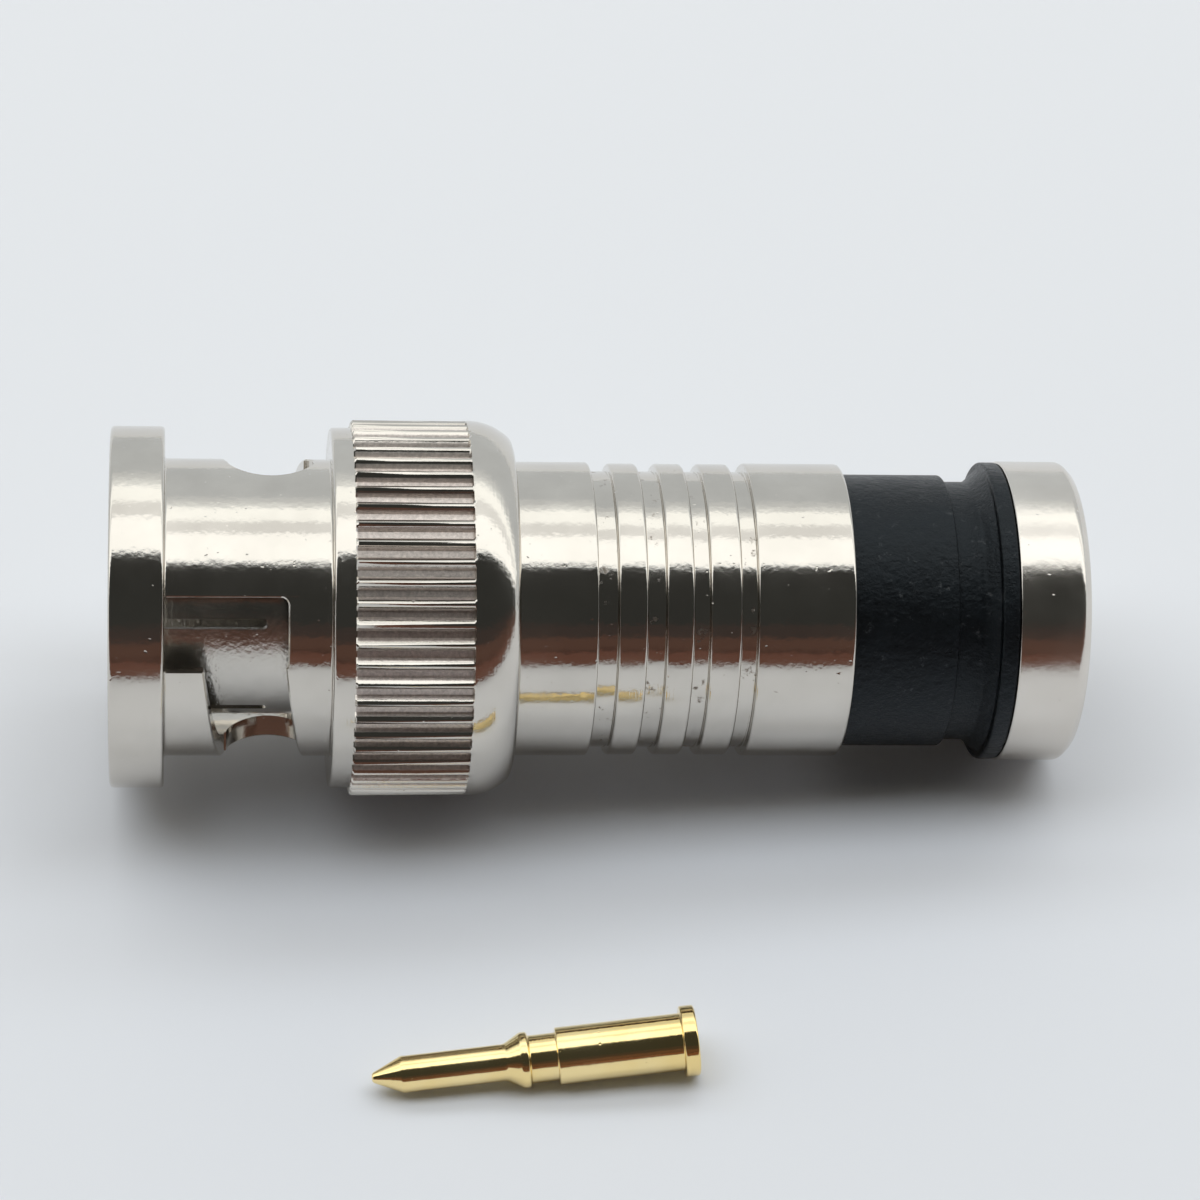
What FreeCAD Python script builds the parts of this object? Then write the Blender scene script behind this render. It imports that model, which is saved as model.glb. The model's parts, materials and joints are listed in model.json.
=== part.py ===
import FreeCAD, Part
import math
import os

import Sketcher
from FreeCAD import Placement, Rotation, Vector

# A male bayonet coaxial connector of the compression kind, in millimetres.
# Every piece of the connector is turned about one axis, local X, which starts at the front
# plane of the coupling nut and runs to the cable end. The connector then lies on the ground
# plane z = 0, on the dome of its nut and the edge of its end cap, with +X towards the
# cable end. The loose centre pin lies beside it on -Y.

# Driving dimensions. Radii are from the axis and lengths run along it.
SIZES = [
    ("contact_radius", 4.05, "outer contact outside, which enters the jack"),
    ("contact_wall", 0.55, "outer contact's tube"),
    ("contact_setback", 1.6, "front plane of the nut to the contact's tip"),
    ("contact_lip", 0.15, "chamfer on the contact's tip"),
    ("contact_slit_width", 0.4, "slits between the contact's fingers"),
    ("contact_slit_corner", 0.18, "rounded root of a slit"),
    ("contact_slit_root", 3.4, "plain tube between the slits and the gasket's seat"),
    ("contact_slit_count", 6, "slits round the contact"),
    ("contact_slit_angle", 34.7, "first slit above the -Y side"),
    ("gasket_seat_step", 0.25, "foot of the contact, inside the gasket, over its tube"),
    ("gasket_length", 0.8, "front gasket"),
    ("gasket_clearance", 0.03, "gasket round the contact's foot"),
    ("gasket_gap", 0.1, "gasket to the nut's bore"),
    ("bead_step", 0.2, "shank's bore over the contact's bore, which stops the bead"),
    ("bead_lead", 0.35, "insulator bead in front of the collar"),
    ("bead_length", 6.6, "insulator bead"),
    ("bead_clearance", 0.05, "bead round the centre pin"),
    ("bead_seat_clearance", 0.1, "seat in the bead round the pin's rim"),
    ("shank_wall", 1.3, "shank pressed into the barrel"),
    ("shank_seat_length", 4.0, "barrel's bore round the shank"),
    ("collar_height", 1.0, "collar that the nut pulls on, over the shank"),
    ("collar_length", 1.6, "collar that the nut pulls on"),
    ("chamber_gap", 0.05, "end gaps between the pieces in the nut's chamber"),
    ("chamber_clearance", 0.1, "nut's chamber round the collar"),
    ("washer_clearance", 0.1, "thrust washer and wave washer round the shank"),
    ("washer_length", 0.7, "thrust washer"),
    ("wave_thickness", 0.3, "wave washer's strip"),
    ("wave_strip_width", 0.75, "wave washer's strip across"),
    ("wave_count", 3, "waves round the wave washer"),
    ("float_travel", 0.8, "travel of the nut against the wave washer"),
    ("jack_room", 0.85, "room for the jack's shell between contact and nut"),
    ("sleeve_wall", 0.775, "slotted sleeve"),
    ("sleeve_length", 6.25, "slotted sleeve between ring and band"),
    ("flange_length", 2.05, "front ring"),
    ("flange_edge", 0.15, "chamfer on the edges of ring and band"),
    ("mouth_chamfer", 0.3, "lead-in of the nut's mouth"),
    ("chamber_wall", 0.8, "band, front ring and groove floors over the chamber"),
    ("band_length", 0.8, "smooth band in front of the knurl"),
    ("knurl_height", 0.3, "crests of the knurl over its floors"),
    ("knurl_length", 4.4, "straight knurl"),
    ("knurl_count", 58, "grooves round the knurl"),
    ("knurl_floor_width", 0.46, "a groove at its floor"),
    ("knurl_mouth_width", 0.6, "a groove as far over the crest as the crest is over the floor"),
    ("dome_lead", 0.1, "plain crest between the knurl and the dome"),
    ("dome_length", 1.75, "domed rear behind the knurl"),
    ("dome_edge", 0.2, "chamfer where the dome meets the rear face"),
    ("rear_face_width", 0.72, "rear face of the nut round the barrel"),
    ("rear_lip_length", 1.35, "rolled lip at the rear"),
    ("slot_angle", 33, "first slot's entry above the -Y side"),
    ("slot_entry_width", 2.8, "entry channel across"),
    ("slot_entry_past", 0.23, "entry channel behind the ramp's rear wall"),
    ("slot_entry_corner", 0.3, "corner of the entry channel"),
    ("slot_ring_depth", 0.045, "channel inside the front ring, over the sleeve's outside"),
    ("slot_ramp_width", 3.07, "ramp across"),
    ("slot_ramp_advance", 1.036, "ramp along the axis from entry to detent"),
    ("slot_ramp_margin", 0.5, "ramp's cutter past both sides of the sleeve"),
    ("slot_turn", 91, "turn from entry to detent"),
    ("slot_count", 2, "bayonet slots"),
    ("slot_land", 0.63, "sleeve left between detent and band"),
    ("detent_radius", 1.62, "detent at the end of the ramp"),
    ("detent_lead", 0.13, "detent's centre behind the middle of the ramp's end"),
    ("barrel_wall", 0.65, "barrel round the shank"),
    ("barrel_clearance", 0.1, "nut's rear lip round the barrel"),
    ("barrel_setback", 0.15, "thrust washer to the barrel's front"),
    ("barrel_edge", 0.18, "chamfer on the barrel's rear edge"),
    ("front_land_length", 4.2, "barrel's front to its first groove"),
    ("groove_depth", 0.34, "grooves of the barrel"),
    ("ridge_step", 0.04, "ridges between the grooves, under the barrel's outside"),
    ("groove_1_length", 0.75, "first groove"),
    ("ridge_1_length", 1.1, "first ridge"),
    ("groove_2_length", 0.7, "second groove"),
    ("ridge_2_length", 1.05, "second ridge"),
    ("groove_3_length", 0.6, "third groove"),
    ("ridge_3_length", 1.2, "third ridge"),
    ("groove_4_length", 0.6, "fourth groove"),
    ("mouth_setback", 0.3, "last groove to the wide mouth inside"),
    ("cable_wall", 0.85, "barrel round the cable"),
    ("mouth_wall", 0.35, "barrel round the plastic sleeve"),
    ("post_bore_radius", 1.95, "inner post inside, which takes the dielectric"),
    ("post_wall", 0.4, "inner post, under the braid"),
    ("post_length", 12.0, "inner post behind its head"),
    ("barb_height", 0.3, "barb at the post's end"),
    ("barb_length", 0.8, "slope of a barb"),
    ("barb_gap", 0.5, "post between its two barbs"),
    ("plastic_clearance", 0.05, "plastic sleeve in the barrel's mouth"),
    ("plastic_insertion", 0.3, "how far its shoulder stands in the barrel's mouth"),
    ("plastic_shown_length", 3.95, "plastic between barrel and neck"),
    ("nose_clearance", 0.08, "nose of the plastic sleeve in the barrel's bore"),
    ("nose_length", 4.3, "nose of the plastic sleeve"),
    ("nose_wall", 1.22, "nose round the cable"),
    ("nose_lead_step", 0.7, "mouth of the nose over its bore, which gathers the jacket"),
    ("nose_lead_length", 1.6, "taper inside the nose"),
    ("neck_step", 0.25, "plastic sleeve's neck, under its outside"),
    ("neck_length", 0.75, "plastic sleeve's neck"),
    ("flare_step", 0.2, "end of the flare behind the neck, over the outside"),
    ("flare_length", 0.5, "flare behind the neck"),
    ("rim_step", 0.31, "plastic rim in front of the cap, over the flare"),
    ("rim_length", 0.8, "plastic rim"),
    ("rim_edge", 0.12, "chamfers of the plastic rim"),
    ("tail_length", 1.7, "tail of the plastic sleeve inside the cap"),
    ("cap_step", 0.04, "end cap over the plastic rim"),
    ("cap_wall", 0.7, "end cap round the tail"),
    ("cap_floor", 0.95, "end cap behind the tail"),
    ("cap_edge", 0.3, "chamfer on the cap's rear edge"),
    ("cap_bore_step", 0.2, "cable entry in the cap, under the plastic's bore"),
    ("cap_mouth_edge", 0.25, "chamfer on the cable entry"),
    ("crimp_stroke", 3.3, "travel of the plastic sleeve into the barrel"),
    ("crimp_end_gap", 0.15, "room left in the barrel's mouth at the end of the travel"),
    ("pin_radius", 0.675, "front of the centre pin"),
    ("pin_point_radius", 0.16, "blunt point of the pin"),
    ("pin_point_length", 1.1, "cone of the pin's tip"),
    ("pin_front_length", 3.8, "straight front of the pin"),
    ("pin_cone_length", 0.6, "cone up to the collar"),
    ("pin_neck_step", 0.2, "neck behind the collar, over the pin's front"),
    ("pin_neck_length", 1.05, "neck behind the collar"),
    ("pin_collar_step", 0.15, "snap collar over the neck"),
    ("pin_collar_length", 0.25, "snap collar"),
    ("pin_barrel_step", 0.175, "pin's wire barrel over the neck"),
    ("pin_barrel_length", 4.6, "pin's wire barrel"),
    ("pin_rim_step", 0.25, "rear rim of the pin over its barrel"),
    ("pin_rim_length", 0.55, "rear rim of the pin"),
    ("pin_wall", 0.5, "pin's barrel round the cable's wire"),
    ("pin_hole_depth", 4.8, "hole for the cable's wire"),
    ("pin_angle", 3.1, "loose pin to the connector, seen from above"),
    ("pin_along", 9.24, "nut's front plane to the point of the loose pin"),
    ("pin_aside", 17.82, "connector's axis to the point of the loose pin"),
]

# Places along the axis, radii, and swings of sketch planes about the axis, which follow from
# the driving dimensions. A plane with no swing faces -Y.
PLACES = [
    ("nut_front", "0"),
    ("axis_line", "0"),
    ("contact_bore_radius", "Sizes.contact_radius - Sizes.contact_wall"),
    ("shank_bore_radius", "contact_bore_radius + Sizes.bead_step"),
    ("shank_radius", "shank_bore_radius + Sizes.shank_wall"),
    ("collar_radius", "shank_radius + Sizes.collar_height"),
    ("washer_bore_radius", "shank_radius + Sizes.washer_clearance"),
    ("gasket_seat_radius", "Sizes.contact_radius + Sizes.gasket_seat_step"),
    ("gasket_bore_radius", "gasket_seat_radius + Sizes.gasket_clearance"),
    ("sleeve_bore_radius", "Sizes.contact_radius + Sizes.jack_room"),
    ("sleeve_radius", "sleeve_bore_radius + Sizes.sleeve_wall"),
    ("gasket_radius", "sleeve_bore_radius - Sizes.gasket_gap"),
    ("mouth_radius", "sleeve_bore_radius + Sizes.mouth_chamfer"),
    ("nut_chamber_radius", "collar_radius + Sizes.chamber_clearance"),
    ("band_radius", "nut_chamber_radius + Sizes.chamber_wall"),
    ("knurl_radius", "band_radius + Sizes.knurl_height"),
    ("knurl_mouth_radius", "knurl_radius + Sizes.knurl_height"),
    ("barrel_radius", "shank_radius + Sizes.barrel_wall"),
    ("lip_radius", "barrel_radius + Sizes.barrel_clearance"),
    ("flange_end", "Sizes.flange_length"),
    ("mouth_end", "Sizes.mouth_chamfer"),
    ("sleeve_end", "flange_end + Sizes.sleeve_length"),
    ("band_end", "sleeve_end + Sizes.band_length"),
    ("knurl_end", "band_end + Sizes.knurl_length"),
    ("dome_start", "knurl_end + Sizes.dome_lead"),
    ("nut_end", "knurl_end + Sizes.dome_length"),
    ("dome_run", "nut_end - dome_start"),
    ("dome_drop", "knurl_radius - lip_radius - Sizes.rear_face_width"),
    ("dome_radius", "(dome_run * dome_run + dome_drop * dome_drop) / dome_drop / 2"),
    ("dome_centre_radius", "knurl_radius - dome_radius"),
    ("lip_front", "nut_end - Sizes.rear_lip_length"),
    ("washer_rear", "lip_front - Sizes.chamber_gap"),
    ("washer_front", "washer_rear - Sizes.washer_length"),
    ("wave_rear", "washer_front - Sizes.chamber_gap"),
    ("wave_front", "wave_rear - Sizes.float_travel - 2 * Sizes.wave_thickness"),
    ("collar_rear", "wave_front - Sizes.chamber_gap"),
    ("collar_front", "collar_rear - Sizes.collar_length"),
    ("nut_shoulder", "collar_front - Sizes.chamber_gap"),
    ("gasket_front", "collar_front - Sizes.gasket_length"),
    ("gasket_seat_front", "gasket_front + Sizes.chamber_gap"),
    ("contact_front", "Sizes.contact_setback"),
    ("slit_end", "gasket_seat_front - Sizes.contact_slit_root"),
    ("bead_front", "collar_front - Sizes.bead_lead"),
    ("bead_rear", "bead_front + Sizes.bead_length"),
    ("bead_seat", "bead_rear - Sizes.pin_rim_length - Sizes.bead_clearance"),
    ("detent_place", "sleeve_end - Sizes.slot_land - Sizes.detent_radius"),
    ("ramp_end_middle", "detent_place - Sizes.detent_lead"),
    ("ramp_middle", "ramp_end_middle - Sizes.slot_ramp_advance"),
    ("ramp_front", "ramp_middle - Sizes.slot_ramp_width / 2"),
    ("ramp_rear", "ramp_middle + Sizes.slot_ramp_width / 2"),
    ("ramp_turns", "Sizes.slot_turn / 360"),
    ("ramp_inner_radius", "sleeve_bore_radius - Sizes.slot_ramp_margin"),
    ("ramp_outer_radius", "sleeve_radius + Sizes.slot_ramp_margin"),
    ("entry_end", "ramp_rear + Sizes.slot_entry_past"),
    ("entry_swing", "360 - Sizes.slot_angle"),
    ("ramp_swing", "90 - Sizes.slot_angle"),
    ("detent_swing", "entry_swing + Sizes.slot_turn"),
    ("slit_swing", "360 - Sizes.contact_slit_angle"),
    ("slot_reach", "sleeve_radius + Sizes.slot_ring_depth"),
    ("barrel_front", "washer_rear + Sizes.barrel_setback"),
    ("shank_end", "barrel_front + Sizes.shank_seat_length"),
    ("ridge_radius", "barrel_radius - Sizes.ridge_step"),
    ("groove_radius", "barrel_radius - Sizes.groove_depth"),
    ("groove_1_front", "barrel_front + Sizes.front_land_length"),
    ("groove_1_rear", "groove_1_front + Sizes.groove_1_length"),
    ("groove_2_front", "groove_1_rear + Sizes.ridge_1_length"),
    ("groove_2_rear", "groove_2_front + Sizes.groove_2_length"),
    ("groove_3_front", "groove_2_rear + Sizes.ridge_2_length"),
    ("groove_3_rear", "groove_3_front + Sizes.groove_3_length"),
    ("groove_4_front", "groove_3_rear + Sizes.ridge_3_length"),
    ("groove_4_rear", "groove_4_front + Sizes.groove_4_length"),
    ("barrel_mouth", "groove_4_rear + Sizes.mouth_setback"),
    ("plastic_shoulder", "barrel_mouth + Sizes.crimp_end_gap + Sizes.crimp_stroke"),
    ("barrel_rear", "plastic_shoulder + Sizes.plastic_insertion"),
    ("barrel_bore_radius", "barrel_radius - Sizes.cable_wall"),
    ("barrel_mouth_radius", "barrel_radius - Sizes.mouth_wall"),
    ("post_front", "bead_rear"),
    ("post_rear", "shank_end + Sizes.post_length"),
    ("post_radius", "Sizes.post_bore_radius + Sizes.post_wall"),
    ("barb_radius", "post_radius + Sizes.barb_height"),
    ("barb_2_front", "post_rear - Sizes.barb_length"),
    ("barb_1_rear", "barb_2_front - Sizes.barb_gap"),
    ("barb_1_front", "barb_1_rear - Sizes.barb_length"),
    ("plastic_radius", "barrel_mouth_radius - Sizes.plastic_clearance"),
    ("nose_radius", "barrel_bore_radius - Sizes.nose_clearance"),
    ("plastic_bore_radius", "nose_radius - Sizes.nose_wall"),
    ("nose_lead_radius", "plastic_bore_radius + Sizes.nose_lead_step"),
    ("nose_front", "plastic_shoulder - Sizes.nose_length"),
    ("nose_lead_end", "nose_front + Sizes.nose_lead_length"),
    ("neck_radius", "plastic_radius - Sizes.neck_step"),
    ("neck_front", "barrel_rear + Sizes.plastic_shown_length"),
    ("neck_rear", "neck_front + Sizes.neck_length"),
    ("flare_radius", "plastic_radius + Sizes.flare_step"),
    ("flare_rear", "neck_rear + Sizes.flare_length"),
    ("rim_radius", "flare_radius + Sizes.rim_step"),
    ("rim_rear", "flare_rear + Sizes.rim_length"),
    ("cap_radius", "rim_radius + Sizes.cap_step"),
    ("tail_radius", "cap_radius - Sizes.cap_wall"),
    ("tail_rear", "rim_rear + Sizes.tail_length"),
    ("cap_rear", "tail_rear + Sizes.cap_floor"),
    ("cap_edge_front", "cap_rear - Sizes.cap_edge"),
    ("cap_bore_radius", "plastic_bore_radius - Sizes.cap_bore_step"),
    ("pin_neck_radius", "Sizes.pin_radius + Sizes.pin_neck_step"),
    ("pin_collar_radius", "pin_neck_radius + Sizes.pin_collar_step"),
    ("pin_barrel_radius", "pin_neck_radius + Sizes.pin_barrel_step"),
    ("pin_rim_radius", "pin_barrel_radius + Sizes.pin_rim_step"),
    ("pin_hole_radius", "pin_barrel_radius - Sizes.pin_wall"),
    ("bead_bore_radius", "pin_barrel_radius + Sizes.bead_clearance"),
    ("bead_seat_radius", "pin_rim_radius + Sizes.bead_seat_clearance"),
    ("pin_cone_front", "Sizes.pin_point_length + Sizes.pin_front_length"),
    ("pin_collar_front", "pin_cone_front + Sizes.pin_cone_length"),
    ("pin_collar_rear", "pin_collar_front + Sizes.pin_collar_length"),
    ("pin_neck_rear", "pin_collar_rear + Sizes.pin_neck_length"),
    ("pin_rim_front", "pin_neck_rear + Sizes.pin_barrel_length"),
    ("pin_rear", "pin_rim_front + Sizes.pin_rim_length"),
    ("pin_hole_front", "pin_rear - Sizes.pin_hole_depth"),
]

doc = FreeCAD.newDocument("BayonetConnector")


def make_sheet(name, rows):
    """A sheet with one row for each name: its value, with the name as alias."""
    sheet = doc.addObject("Spreadsheet::Sheet", name)
    for number, row in enumerate(rows, start=1):
        cell = "B%d" % number
        sheet.set("A%d" % number, row[0])
        sheet.set(cell, str(row[1]))
        sheet.setAlias(cell, row[0])
    doc.recompute()
    return sheet


sizes = make_sheet("Sizes", SIZES)
places = make_sheet("Places", [(name, "=" + formula) for name, formula in PLACES])
SIZE_NAMES = {row[0] for row in SIZES}


def path_of(name):
    """The expression that reads a named size or place."""
    return ("Sizes." if name in SIZE_NAMES else "Places.") + name


def number_of(name):
    """The present value of a named size or place."""
    return float((sizes if name in SIZE_NAMES else places).get(name))


def make_body(name):
    body = doc.addObject("PartDesign::Body", name)
    body.Label = name
    return body


def origin_item(body, role):
    for item in body.Origin.OriginFeatures:
        if item.Role == role:
            return item
    raise RuntimeError("no " + role)


def add_sketch(body, name, role, swing=None):
    """A sketch on one of the body's own origin planes, swung about X by a named angle."""
    sketch = body.newObject("Sketcher::SketchObject", name)
    sketch.AttachmentSupport = [(origin_item(body, role), "")]
    sketch.MapMode = "FlatFace"
    if swing:
        turned = Rotation(Vector(1, 0, 0), number_of(swing))
        sketch.AttachmentOffset = Placement(Vector(), turned)
        sketch.setExpression("AttachmentOffset.Rotation.Angle", path_of(swing))
    return sketch


def fix_point(sketch, geometry, end, x_name, y_name):
    """Tie a point of the sketch to a place along the axis and a radius."""
    for kind, name in (("DistanceX", x_name), ("DistanceY", y_name)):
        if name is None:
            continue
        value = number_of(name)
        index = sketch.addConstraint(
            Sketcher.Constraint(kind, -1, 1, geometry, end, value)
        )
        sketch.setExpression("Constraints[%d]" % index, path_of(name))


def draw_outline(sketch, corners):
    """A closed outline. A corner is (place, radius), and a third item is the centre of an arc
    that runs on from it clockwise. A corner that ends an arc leaves its radius to the arc."""
    spots = []
    for corner in corners:
        spots.append([number_of(corner[0]), number_of(corner[1])])
    count = len(corners)
    for index, corner in enumerate(corners):
        if len(corner) == 3:
            after = spots[(index + 1) % count]
            middle = [number_of(corner[2][0]), number_of(corner[2][1])]
            reach = math.dist(spots[index], middle)
            after[1] = middle[1] + math.sqrt(reach**2 - (after[0] - middle[0]) ** 2)
    for index, corner in enumerate(corners):
        start = Vector(spots[index][0], spots[index][1], 0)
        after = spots[(index + 1) % count]
        stop = Vector(after[0], after[1], 0)
        if len(corner) == 3:
            middle = Vector(number_of(corner[2][0]), number_of(corner[2][1]), 0)
            circle = Part.Circle(middle, Vector(0, 0, 1), (start - middle).Length)
            first = math.atan2(stop.y - middle.y, stop.x - middle.x)
            last = math.atan2(start.y - middle.y, start.x - middle.x)
            sketch.addGeometry(Part.ArcOfCircle(circle, first, last), False)
        else:
            sketch.addGeometry(Part.LineSegment(start, stop), False)
    for index, corner in enumerate(corners):
        after = (index + 1) % count
        is_arc = len(corner) == 3
        end = 1 if is_arc else 2
        next_start = 2 if len(corners[after]) == 3 else 1
        sketch.addConstraint(
            Sketcher.Constraint("Coincident", index, end, after, next_start)
        )
        ends_arc = len(corners[index - 1]) == 3
        own_start = 2 if is_arc else 1
        fix_point(sketch, index, own_start, corner[0], None if ends_arc else corner[1])
        if is_arc:
            fix_point(sketch, index, 3, corner[2][0], corner[2][1])


def turn(body, name, corners, kind="PartDesign::Revolution"):
    """A solid, or a groove, turned about the connector's axis from its half outline."""
    sketch = add_sketch(body, name + "_outline", "XZ_Plane")
    draw_outline(sketch, corners)
    doc.recompute()
    feature = body.newObject(kind, name)
    feature.Profile = sketch
    feature.ReferenceAxis = (sketch, ["H_Axis"])
    feature.Angle = 360
    doc.recompute()
    return feature


def round_edges(shape, place):
    """Names of the full circles of a shape that lie at one place along the axis."""
    names = {}
    for index, edge in enumerate(shape.Edges, start=1):
        if isinstance(edge.Curve, Part.Circle):
            if abs(edge.Curve.Center.x - number_of(place)) < 1e-5:
                names[round(edge.Curve.Radius, 5)] = "Edge%d" % index
    return names


def ease(body, name, picks, size):
    """A chamfer on circular edges, each picked by its place and radius."""
    base = body.Tip
    edges = []
    for place, radius in picks:
        edges.append(round_edges(base.Shape, place)[round(radius, 5)])
    feature = body.newObject("PartDesign::Chamfer", name)
    feature.Base = (base, edges)
    feature.Size = number_of(size)
    feature.setExpression("Size", path_of(size))
    doc.recompute()
    return feature


def draw_channel(sketch, front, rear, width, corner):
    """A channel across the axis line, from one place to another, with two rounded corners."""
    left = number_of(front)
    right = number_of(rear)
    half = number_of(width) / 2
    bend = number_of(corner)
    square = [(left, half), (left, -half), (right - bend, -half)]
    sketch.addGeometry(Part.LineSegment(Vector(*square[0], 0), Vector(*square[1], 0)), False)
    sketch.addGeometry(Part.LineSegment(Vector(*square[1], 0), Vector(*square[2], 0)), False)
    for centre_y, first in ((bend - half, -math.pi / 2), (half - bend, 0)):
        circle = Part.Circle(Vector(right - bend, centre_y, 0), Vector(0, 0, 1), bend)
        sketch.addGeometry(Part.ArcOfCircle(circle, first, first + math.pi / 2), False)
    rear_line = Part.LineSegment(
        Vector(right, bend - half, 0), Vector(right, half - bend, 0)
    )
    far_line = Part.LineSegment(Vector(right - bend, half, 0), Vector(left, half, 0))
    sketch.addGeometry(rear_line, False)
    sketch.addGeometry(far_line, False)
    # 0 front line, 1 near line, 2 near corner, 3 far corner, 4 rear line, 5 far line
    for first, first_end, second, second_end in ((0, 2, 1, 1), (5, 2, 0, 1)):
        sketch.addConstraint(
            Sketcher.Constraint("Coincident", first, first_end, second, second_end)
        )
    for line, line_end, arc, arc_end in ((1, 2, 2, 1), (4, 1, 2, 2), (4, 2, 3, 1), (5, 1, 3, 2)):
        sketch.addConstraint(Sketcher.Constraint("Tangent", line, line_end, arc, arc_end))
    sketch.addConstraint(Sketcher.Constraint("Horizontal", 1))
    sketch.addConstraint(Sketcher.Constraint("Equal", 2, 3))
    sketch.addConstraint(Sketcher.Constraint("Symmetric", 0, 1, 0, 2, -1))
    fix_point(sketch, 0, 1, front, None)
    fix_point(sketch, 4, 1, rear, None)
    across = sketch.addConstraint(Sketcher.Constraint("DistanceY", 0, 2, 0, 1, 2 * half))
    sketch.setExpression("Constraints[%d]" % across, path_of(width))
    round_off = sketch.addConstraint(Sketcher.Constraint("Radius", 2, bend))
    sketch.setExpression("Constraints[%d]" % round_off, path_of(corner))


def cut_outwards(body, name, sketch, reach):
    """A pocket from the axis outwards, on the side that the sketch faces."""
    before = body.Tip.Shape.Volume
    pocket = body.newObject("PartDesign::Pocket", name)
    pocket.Profile = sketch
    pocket.Reversed = True
    pocket.Length = number_of(reach)
    pocket.setExpression("Length", path_of(reach))
    doc.recompute()
    if pocket.Shape.Volume >= before:
        raise RuntimeError(name + " cuts nothing")
    return pocket


def repeat_round(body, name, originals, count):
    """The same features again, evenly round the axis."""
    pattern = body.newObject("PartDesign::PolarPattern", name)
    pattern.Originals = originals
    pattern.Axis = (origin_item(body, "X_Axis"), [""])
    pattern.Angle = 360
    pattern.Occurrences = int(number_of(count))
    pattern.setExpression("Occurrences", path_of(count))
    body.Tip = pattern
    doc.recompute()
    return pattern


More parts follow.
